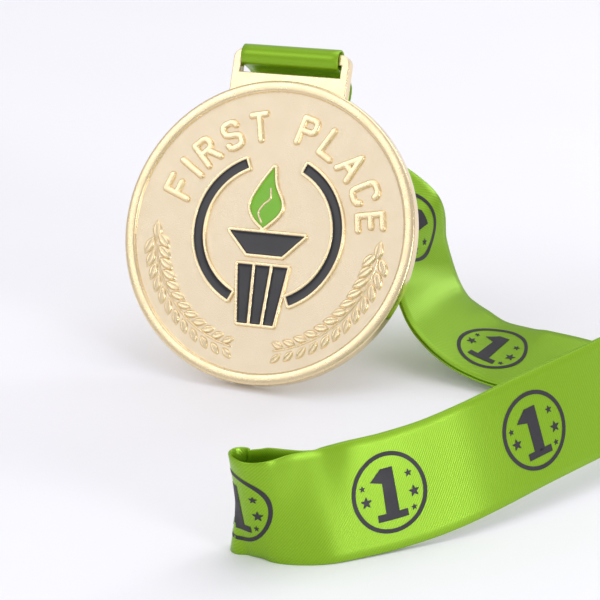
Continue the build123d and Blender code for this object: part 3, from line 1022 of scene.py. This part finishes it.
# ------------------------------------------------------------------ the ribbon
@dataclass(frozen=True)
class Course:
    """The one line that both plies of the ribbon follow, with the ribbon's width direction, in mm."""

    width: float = 25.0
    thickness: float = 0.5
    ply: float = 0.45
    seam_distance: float = 9.05
    droop: float = 25.0
    loop_radius: float = 2.5
    side: float = -0.3

    @staticmethod
    def stations() -> list[tuple[tuple[float, float, float], tuple[float, float, float]]]:
        """The doubled band's course from behind the medal to the near end.

        Returns:
            Places in mm with the band's width direction at each.
        """
        return [
            ((-3.0, 42.4, 57.6), (0.985, 0.16, 0.00)),
            ((0.2, 41.4, 49.0), (0.93, 0.33, 0.14)),
            ((12.8, 38.9, 39.8), (0.67, 0.63, 0.38)),
            ((26.0, 41.6, 32.0), (0.37, 0.91, 0.20)),
            ((29.0, 42.4, 22.8), (0.22, 0.97, 0.05)),
            ((32.2, 40.6, 17.0), (0.20, 0.98, -0.05)),
            ((36.4, 37.4, 12.2), (0.18, 0.98, 0.02)),
            ((41.8, 34.4, 8.8), (0.21, 0.97, 0.08)),
            ((48.2, 32.1, 6.4), (0.22, 0.97, 0.11)),
            ((55.6, 30.2, 5.3), (0.26, 0.95, 0.17)),
            ((63.4, 29.0, 4.9), (0.22, 0.95, 0.21)),
            ((76.0, 29.6, 4.2), (0.05, 0.98, 0.18)),
            ((90.0, 31.2, 2.2), (-0.12, 0.99, 0.06)),
            ((103.0, 34.2, 1.5), (-0.26, 0.97, 0.00)),
            ((118.0, 39.4, 2.9), (-0.33, 0.93, -0.14)),
            ((131.8, 45.0, 7.8), (-0.42, 0.73, -0.54)),
            ((140.4, 56.0, 11.2), (-0.57, 0.02, -0.82)),
            ((137.0, 66.4, 12.4), (-0.29, -0.26, -0.92)),
            ((127.4, 70.6, 13.0), (0.0, -0.31, -0.95)),
            ((119.5, 66.2, 13.2), (0.14, -0.2, -0.97)),
            ((114.5, 54.0, 14.6), (0.22, -0.14, -0.965)),
            ((109.0, 34.0, 16.8), (0.26, -0.14, -0.955)),
            ((103.6, 14.0, 18.6), (0.26, -0.14, -0.955)),
            ((98.4, -4.4, 19.6), (0.26, -0.13, -0.957)),
            ((93.1, -18.4, 19.6), (0.26, -0.13, -0.957)),
            ((84.0, -35.8, 18.0), (0.25, -0.14, -0.957)),
            ((76.0, -48.7, 15.8), (0.23, -0.15, -0.96)),
            ((68.9, -57.8, 13.8), (0.22, -0.16, -0.96)),
            ((61.9, -65.9, 12.7), (0.21, -0.17, -0.96)),
            ((55.9, -72.1, 12.4), (0.2, -0.16, -0.965)),
            ((51.0, -77.6, 12.5), (0.16, -0.08, -0.98)),
        ]

    @staticmethod
    def end_stations() -> list[tuple[tuple[float, float, float], tuple[float, float, float]]]:
        """The round end where the outer ply turns back into the inner one.

        Returns:
            Places in mm with the band's width direction at each.
        """
        return [
            ((46.2, -81.7, 12.6), (0.11, 0.0, -0.99)),
            ((41.1, -84.8, 12.6), (-0.03, 0.16, -0.98)),
            ((36.9, -85.0, 12.5), (-0.1, 0.26, -0.96)),
            ((33.4, -82.7, 12.5), (-0.12, 0.31, -0.94)),
            ((34.0, -79.3, 12.5), (-0.1, 0.26, -0.96)),
            ((38.4, -78.0, 12.5), (-0.06, 0.2, -0.975)),
            ((43.0, -78.6, 12.6), (0.0, 0.1, -0.99)),
            ((47.2, -79.0, 12.6), (0.06, 0.0, -0.99)),
        ]


def catmull(values: np.ndarray, steps: int) -> np.ndarray:
    """Runs Catmull-Rom lines through rows of values.

    Args:
        values: one row for each station.
        steps: how many parts each span is cut into.

    Returns:
        The finer rows, with the last station at their end.
    """
    p = np.vstack([2 * values[0] - values[1], values, 2 * values[-1] - values[-2]])
    t = (np.arange(steps) / steps)[:, None]
    spans = []
    for i in range(1, len(p) - 2):
        a, b, c, d = p[i - 1 : i + 3]
        spans.append(catmull_blend(a, b, c, d, t))
    return np.vstack(spans + [p[-2][None]])


def unit(rows: np.ndarray) -> np.ndarray:
    """Each row scaled to length one."""
    return rows / np.linalg.norm(rows, axis=-1, keepdims=True)


@dataclass
class Cloth:
    """The ribbon's printed face as a fine grid that closes on itself, in mm."""

    lengths: np.ndarray
    across: np.ndarray
    points: np.ndarray
    normals: np.ndarray

    @property
    def total(self) -> float:
        """The whole length of the band."""
        return float(self.lengths[-1])

    def at(self, s: np.ndarray, a: np.ndarray, lift: float) -> np.ndarray:
        """Points on the face at lengths s and places a across, lifted off it.

        Args:
            s: lengths along the band in mm.
            a: places across it in mm, 0 in the middle.
            lift: distance off the face in mm.

        Returns:
            The points in mm.
        """
        s = np.mod(s, self.total)
        i = np.clip(np.searchsorted(self.lengths, s, "right") - 1, 0, len(self.lengths) - 2)
        f = ((s - self.lengths[i]) / (self.lengths[i + 1] - self.lengths[i]))[..., None]
        step = self.across[1] - self.across[0]
        g = np.clip((a - self.across[0]) / step, 0, len(self.across) - 1 - 1e-6)
        j = g.astype(int)
        g = (g - j)[..., None]

        def mix(grid: np.ndarray) -> np.ndarray:
            """Reads a grid between its nearest four points.

            Args:
                grid: the grid.

            Returns:
                Its value at each place.
            """
            low = grid[i, j] * (1 - g) + grid[i, j + 1] * g
            high = grid[i + 1, j] * (1 - g) + grid[i + 1, j + 1] * g
            return low * (1 - f) + high * f

        return mix(self.points) + unit(mix(self.normals)) * lift


@dataclass
class Ribbon:
    """The neck ribbon: one band of woven satin sewn into a loop around the hanger's bar."""

    medal: MedalFrame
    satin: bpy.types.Material
    ink: bpy.types.Material
    thread: bpy.types.Material
    course: Course = Course()
    steps: int = 14
    columns: int = 15
    selvedge: float = 0.2
    seam_depth: float = 9.0
    stitch_share: float = 0.8
    stitch_pitch: float = 1.6
    stitch_margin: float = 1.5
    stitch_height: float = 0.74
    cup_depth: float = 0.16
    drift_height: float = 0.05
    cuts: int = 760

    def build(self) -> None:
        """Builds the band, its print and its stitching."""
        cloth = self.cloth()
        band = self.band(cloth)
        log.info("ribbon band is %.0f mm long", cloth.total)
        prints = Print(cloth, self.ink).build()
        seam = self.seam()

    def tail_way(self) -> Vector:
        """The way that the two plies leave the bar.

        Returns:
            A unit vector.
        """
        _, up, out = self.medal.axes
        droop = math.radians(self.course.droop)
        return -out * math.cos(droop) - up * math.sin(droop)

    def rows(self) -> np.ndarray:
        """Lays out the band's control stations, once around the whole loop.

        Returns:
            A row for each station: its place, its width direction and how much it cups.
        """
        across = self.medal.axes[0]
        tail, c = self.tail_way(), self.course
        bar = self.medal.bar + across * c.side - SHIFT
        seam = bar + tail * c.seam_distance
        middle = [(tuple(seam), tuple(across)), (tuple(seam + tail * 1.5), tuple(across))] + c.stations()
        places = np.array([m[0] for m in middle], float)
        widths = unit(np.array([m[1] for m in middle], float))
        spans = 8
        ways = unit(np.gradient(catmull(places, spans), axis=0))[::spans]
        faces = unit(np.cross(ways, widths))
        cup = self.cup_depth * np.sin(1.9 * np.arange(len(places)) + 0.7)
        cup[:3] = 0
        outer = np.hstack([places + faces * c.ply, widths, cup[:, None]])
        inner = np.hstack([places - faces * c.ply, widths, -cup[:, None]])
        end = np.array([[*p, *w, 0.0] for p, w in c.end_stations()], float)
        normal = tail.cross(across)
        loop = []
        legs = [(7.2, 0.47), (5.2, 0.62), (3.2, 1.22), (1.7, 1.84)]
        turns = np.linspace(0, math.pi, 7)
        arc = [(-c.loop_radius * math.sin(a), c.loop_radius * math.cos(a)) for a in turns]
        for t, h in [(t, -h) for t, h in legs + arc] + legs[::-1]:
            loop.append([*(bar + tail * t + normal * h), *across, 0.0])
        return np.vstack([outer, end, inner[::-1], np.array(loop)])

    def cloth(self) -> Cloth:
        """Works out the fine grid of the printed face, closed on itself.

        Returns:
            The cloth in the row frame, in mm.
        """
        rows = self.rows()
        count = len(rows)
        around = np.vstack([rows[-3:], rows, rows[:4]])
        fine = catmull(around, self.steps)[3 * self.steps : (3 + count) * self.steps + 1]
        centres, widths, cup = fine[:, :3] + np.array(SHIFT), fine[:, 3:6], fine[:, 6]
        step = np.linalg.norm(np.diff(centres, axis=0), axis=1)
        lengths = np.concatenate([[0], np.cumsum(step)])
        marks = self.marks(lengths, centres)
        centres = np.stack([np.interp(marks, lengths, column) for column in centres.T], 1)
        widths = np.stack([np.interp(marks, lengths, column) for column in widths.T], 1)
        cup = np.interp(marks, lengths, cup)
        ways = unit(np.roll(centres[:-1], -1, 0) - np.roll(centres[:-1], 1, 0))
        ways = np.vstack([ways, ways[:1]])
        widths = unit(widths - (widths * ways).sum(1)[:, None] * ways)
        faces = np.cross(ways, widths)
        half = self.course.width / 2
        across = np.linspace(-half, half, self.columns)
        bow = (0.5 - 1.5 * (across / half) ** 2)[None, :]
        drift = self.drift_height * np.sin(marks[:, None] / 9.0 + across[None, :] / 5.0)
        lift = cup[:, None] * bow + drift * (np.abs(cup[:, None]) > 0) + self.course.thickness / 2
        points = centres[:, None] + widths[:, None] * across[None, :, None] + faces[:, None] * lift[..., None]
        along = np.roll(points[:-1], -1, 0) - np.roll(points[:-1], 1, 0)
        along = np.vstack([along, along[:1]])
        normals = unit(np.cross(along, np.gradient(points, axis=1)))
        return Cloth(marks, across, points, normals)

    def marks(self, lengths: np.ndarray, centres: np.ndarray) -> np.ndarray:
        """Chooses where to cut the band, closer together where it bends tightly.

        Args:
            lengths: length along the band at each centre, in mm.
            centres: the band's middle line in mm.

        Returns:
            The lengths to cut at.
        """
        ways = unit(np.gradient(centres, axis=0))
        bend = np.linalg.norm(np.gradient(ways, axis=0), axis=1) / np.maximum(np.gradient(lengths), 1e-6)
        straight, bent = 0.8, 5.0
        weight = np.cumsum(np.gradient(lengths) * (straight + bent * np.sqrt(np.clip(bend, 0, 1.0))))
        weight = (weight - weight[0]) / (weight[-1] - weight[0])
        return np.interp(np.linspace(0, 1, self.cuts), weight, lengths)

    def band(self, cloth: Cloth) -> bpy.types.Object:
        """Makes the band as a closed strip with slightly full selvedges.

        Args:
            cloth: the printed face.

        Returns:
            The band.
        """
        n, m = len(cloth.lengths) - 1, len(cloth.across)
        thick = self.course.thickness
        top, low = cloth.points[:n], cloth.points[:n] - cloth.normals[:n] * thick
        side = unit(top[:, -1] - top[:, -2])[:, None]
        near = unit(top[:, 0] - top[:, 1])[:, None]
        middle_high = ((top[:, -1:] + low[:, -1:]) / 2) + side * self.selvedge
        middle_low = ((top[:, :1] + low[:, :1]) / 2) + near * self.selvedge
        ring = np.concatenate([top, middle_high, low[:, ::-1], middle_low], 1)
        size = ring.shape[1]
        points = (ring.reshape(-1, 3) * MM).tolist()
        faces = []
        for i in range(n):
            a, b = i * size, ((i + 1) % n) * size
            for j in range(size):
                k = (j + 1) % size
                faces.append((a + j, b + j, b + k, a + k))
        piece = mesh_object("ribbon_band", points, faces, [self.satin])
        layer = piece.data.uv_layers.new(name="cloth")
        high, lower = [cloth.across[-1] + 0.4], [cloth.across[0] - 0.4]
        spots = np.concatenate([cloth.across, high, cloth.across[::-1], lower])
        corners = np.empty((len(piece.data.loops), 2))
        index = np.empty(len(piece.data.loops), int)
        piece.data.loops.foreach_get("vertex_index", index)
        corners[:, 1] = spots[index % size]
        corners[:, 0] = cloth.lengths[index // size]
        first = np.repeat(corners[::4, 0], 4)
        closing = (first > cloth.total / 2) & (corners[:, 0] < 1e-6)
        corners[:, 0] = np.where(closing, cloth.total, corners[:, 0])
        layer.data.foreach_set("uv", corners.ravel())
        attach(piece, "ribbon")
        nodes = ["bar_loop", "end_loop"]
        nodes += [f"{ply}_{part}" for ply in ("outer", "inner") for part in ("drop", "sweep", "turn", "run")]
        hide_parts(*nodes)
        return piece

    def seam(self) -> bpy.types.Object:
        """Makes the row of stitches that ties the plies together under the bar.

        Returns:
            The stitches.
        """
        tail, across = self.tail_way(), self.medal.axes[0]
        normal = tail.cross(across)
        base = self.medal.bar + across * self.course.side + tail * (self.seam_depth * self.stitch_share)
        pitch, half = self.stitch_pitch, self.course.width / 2 - self.stitch_margin
        points, faces = [], []
        for face in (-1, 1):
            for k in range(int(2 * half / pitch) + 1):
                centre = base + across * (-half + (k + 0.3) * pitch) + normal * face * self.stitch_height
                self.stitch(points, faces, centre, across, normal * face, pitch * 0.4)
        for k in range(2):
            self.stitch(points, faces, base + tail * (0.12 * k), across, normal, half)
        piece = mesh_object("seam_stitches", points, faces, [self.thread])
        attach(piece, "ribbon")
        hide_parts("seam_thread")
        log.info("%s stands for seam_thread", piece.name)
        return piece

    @staticmethod
    def stitch(points: list, faces: list, centre: Vector, way: Vector, face: Vector, half: float) -> None:
        """Adds one stitch, a thin rod that dips at both ends.

        Args:
            points: the seam's vertices so far, in metres.
            faces: the seam's faces so far.
            centre: the stitch's middle in mm.
            way: the direction it runs in.
            face: the direction out of the cloth.
            half: half its length in mm.
        """
        side, start, around, along = way.cross(face), len(points), 8, 7
        radius, dip = 0.17, 0.1
        for i in range(along):
            t = -1 + 2 * i / (along - 1)
            girth = radius * math.sqrt(max(1 - abs(t) ** 6, 0.02))
            middle = centre + way * half * t - face * dip * t * t
            for k in range(around):
                angle = 2 * math.pi * k / around
                out = side * math.cos(angle) + face * math.sin(angle)
                points.append(tuple((middle + out * girth) * MM))
        for i in range(along - 1):
            for k in range(around):
                a, b = start + i * around + k, start + i * around + (k + 1) % around
                faces.append((a, b, b + around, a + around))
        faces.append(tuple(start + k for k in range(around))[::-1])
        faces.append(tuple(start + (along - 1) * around + k for k in range(around)))


@dataclass
class Print:
    """The roundels printed on the ribbon's face: a ring, a numeral one and small stars."""

    cloth: Cloth
    ink: bpy.types.Material
    radius: float = 8.85
    stroke: float = 0.95
    front: tuple[float, ...] = (51.3, 91.8, 131.4, 171.0)
    back: tuple[float, ...] = (248.9, 288.5, 328.1, 366.3, 401.5)
    pitch: float = 39.6
    bare: float = 38.0
    lift: float = 0.08
    points: list = field(default_factory=list)
    faces: list = field(default_factory=list)

    def build(self) -> bpy.types.Object:
        """Prints the roundels all along the band.

        Returns:
            The print.
        """
        for s in self.front:
            self.roundel(s, 1)
        rest = np.arange(self.back[-1] + self.pitch, self.cloth.total - self.bare, self.pitch)
        for s in (*self.back, *rest):
            self.roundel(float(s), -1)
        piece = mesh_object("ribbon_print", self.points, self.faces, [self.ink])
        log.info("%s has %d faces", piece.name, len(self.faces))
        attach(piece, "ribbon")
        return piece

    def roundel(self, s: float, flip: int) -> None:
        """Prints one roundel in the middle of the band: the ring, the numeral and its stars.

        Args:
            s: its length along the band in mm.
            flip: 1 upright along the front strand, -1 turned half round.
        """
        t, r = np.meshgrid(
            np.linspace(0, 2 * np.pi, 97), np.linspace(self.radius - self.stroke, self.radius, 3)
        )
        self.sheet(s, flip, r * np.cos(t), r * np.sin(t))
        stem = ([(-1.5, -5.0), (1.5, -5.0)], [(-1.5, 5.4), (1.5, 5.4)])
        flag = ([(-1.5, 5.4), (-1.45, 5.4)], [(-4.3, 2.9), (-1.5, 2.2)])
        foot = ([(-3.4, -6.0), (3.4, -6.0)], [(-3.4, -4.4), (3.4, -4.4)])
        for low, high in (stem, flag, foot):
            self.bar(low, high, s, flip)
        stars = ((-5.6, -1.2, 1.35), (5.6, -1.2, 1.35), (5.0, 3.0, 0.95))
        stars += ((-6.2, 1.9, 0.75), (4.9, -4.6, 0.75))
        for x, y, size in stars:
            self.star(x, y, size, s, flip)

    def sheet(self, s: float, flip: int, x: np.ndarray, y: np.ndarray) -> None:
        """Lays a grid drawn in the roundel's own plane onto the cloth.

        Args:
            s: the roundel's length along the band in mm.
            flip: which way round the roundel stands.
            x: places across the roundel in mm.
            y: places up it in mm.
        """
        start, (rows, columns) = len(self.points), x.shape
        placed = self.cloth.at(s + flip * x, flip * y, self.lift) * MM
        self.points.extend(placed.reshape(-1, 3).tolist())
        for i in range(rows - 1):
            for j in range(columns - 1):
                k = start + i * columns + j
                self.faces.append((k, k + 1, k + columns + 1, k + columns))

    def bar(self, low: list[Point], high: list[Point], s: float, flip: int) -> None:
        """Prints a four-sided solid mark.

        Args:
            low: the ends of its low edge.
            high: the ends of its high edge.
            s: the roundel's length along the band in mm.
            flip: which way round the roundel stands.
        """
        u, v = np.meshgrid(np.linspace(0, 1, 7), np.linspace(0, 1, 19))
        edge = [[(p[k] * (1 - u) + q[k] * u) for k in (0, 1)] for p, q in (low, high)]
        self.sheet(s, flip, edge[0][0] * (1 - v) + edge[1][0] * v, edge[0][1] * (1 - v) + edge[1][1] * v)

    def star(self, x: float, y: float, size: float, s: float, flip: int) -> None:
        """Prints a five-pointed star.

        Args:
            x: its place across the roundel in mm.
            y: its place up it in mm.
            size: its radius in mm.
            s: the roundel's length along the band in mm.
            flip: which way round the roundel stands.
        """
        angle = np.linspace(0, 2 * np.pi, 41) + np.pi / 2
        phase = np.abs(((angle - np.pi / 2) * 5 / (2 * np.pi)) % 1 - 0.5) * 2
        reach = size * (0.45 + 0.55 * phase**1.6)
        r, t = np.meshgrid(np.linspace(0.02, 1, 5), angle, indexing="ij")
        self.sheet(s, flip, x + r * reach[None] * np.cos(t), y + r * reach[None] * np.sin(t))


# ------------------------------------------------------------------ the studio
@dataclass(frozen=True)
class Studio:
    """The pale table, the soft lights and the camera."""

    sky_color: tuple[float, float, float] = (0.92, 0.92, 0.97)
    sky_strength: float = 0.68
    camera_place: tuple[float, float, float] = (0.17969, -0.53936, 0.26240)
    camera_look: tuple[float, float, float] = (-0.3473, 0.8597, -0.3746)
    camera_lens: float = 160.1

    def build(self) -> None:
        """Builds the whole setting."""
        bpy.context.scene.view_settings.view_transform = "Standard"
        self.table()
        self.sky()
        self.light("overhead", (0.25, 0.35, 1.2), (0.0, 0.0, 0.0), 1.0, 4.6)
        self.light("front_left", (-0.75, -0.95, 1.15), (-0.05, 0.0, 0.03), 0.9, 4.3)
        self.light("right", (1.0, -0.5, 0.34), (0.0, -0.04, 0.02), 0.3, 3.4)
        self.light("behind_right", (0.65, 1.0, 0.55), (0.0, 0.0, 0.02), 0.35, 2.2)
        self.camera()

    def table(self) -> None:
        """A pale table under everything."""
        mesh = bpy.data.meshes.new("table")
        mesh.from_pydata([(-4, -4, 0), (4, -4, 0), (4, 4, 0), (-4, 4, 0)], [], [(0, 1, 2, 3)])
        top = bpy.data.objects.new("table", mesh)
        bpy.context.collection.objects.link(top)
        white = Matte("table_white", (0.90, 0.89, 0.92), (0.89, 0.88, 0.91), 0.6, 400.0, 0.0, 0.05)
        mesh.materials.append(white.build())

    def sky(self) -> None:
        """A bright even room."""
        world = bpy.data.worlds.new("room")
        bpy.context.scene.world = world
        world.use_nodes = True
        background = world.node_tree.nodes["Background"]
        background.inputs["Color"].default_value = (*self.sky_color, 1)
        background.inputs["Strength"].default_value = self.sky_strength

    def light(
        self, name: str, place: Sequence[float], aim: Sequence[float], size: float, power: float
    ) -> None:
        """Adds a soft square lamp.

        Args:
            name: the lamp's name.
            place: where it hangs, in metres.
            aim: the point it shines at.
            size: the length of its side.
            power: its power in watts.
        """
        data = bpy.data.lights.new(name, "AREA")
        data.size, data.energy = size, power
        lamp = bpy.data.objects.new(name, data)
        bpy.context.collection.objects.link(lamp)
        lamp.location = place
        lamp.rotation_euler = (Vector(aim) - Vector(place)).to_track_quat("-Z", "Y").to_euler()

    def camera(self) -> None:
        """The camera, a little above and to the right."""
        data = bpy.data.cameras.new("camera")
        data.lens, data.sensor_width = self.camera_lens, 36.0
        data.clip_start, data.clip_end = 0.05, 20
        camera = bpy.data.objects.new("camera", data)
        bpy.context.collection.objects.link(camera)
        camera.location = self.camera_place
        camera.rotation_euler = Vector(self.camera_look).to_track_quat("-Z", "Y").to_euler()
        bpy.context.scene.camera = camera


def main() -> None:
    """Builds the medal, its ribbon and the studio, and notes the sizes."""
    logging.basicConfig(level=logging.INFO)
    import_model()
    pale = (0.91, 0.77, 0.555)
    metal = {
        Face.FIELD: Gold("gold_field", pale, 0.40, 0.9, 5200.0).build(),
        Face.RELIEF: Gold("gold_relief", (0.86, 0.70, 0.44), 0.26, 0.3, 5200.0).build(),
        Face.EDGE: Gold("gold_edge", (0.85, 0.69, 0.42), 0.12, 0.08, 3800.0).build(),
    }
    black = Enamel("black_enamel", (0.012, 0.011, 0.014), (0.02, 0.018, 0.022)).build()
    green = Enamel("green_enamel", (0.20, 0.50, 0.008), (0.15, 0.43, 0.006)).build()
    frame = MedalFrame()
    Medal(frame, metal, black, green).build()
    satin = Satin("green_satin", (0.17, 0.39, 0.003), (0.30, 0.50, 0.010)).build()
    ink = Matte("print_ink", (0.013, 0.011, 0.016), (0.022, 0.019, 0.025), 0.5, 3600.0).build()
    thread = Matte("green_thread", (0.12, 0.42, 0.008), (0.09, 0.33, 0.006), 0.6, 6400.0, 0.5).build()
    Ribbon(frame, satin, ink, thread).build()
    Studio().build()
    log.info("studio is set")


if __name__ == "__main__":
    main()
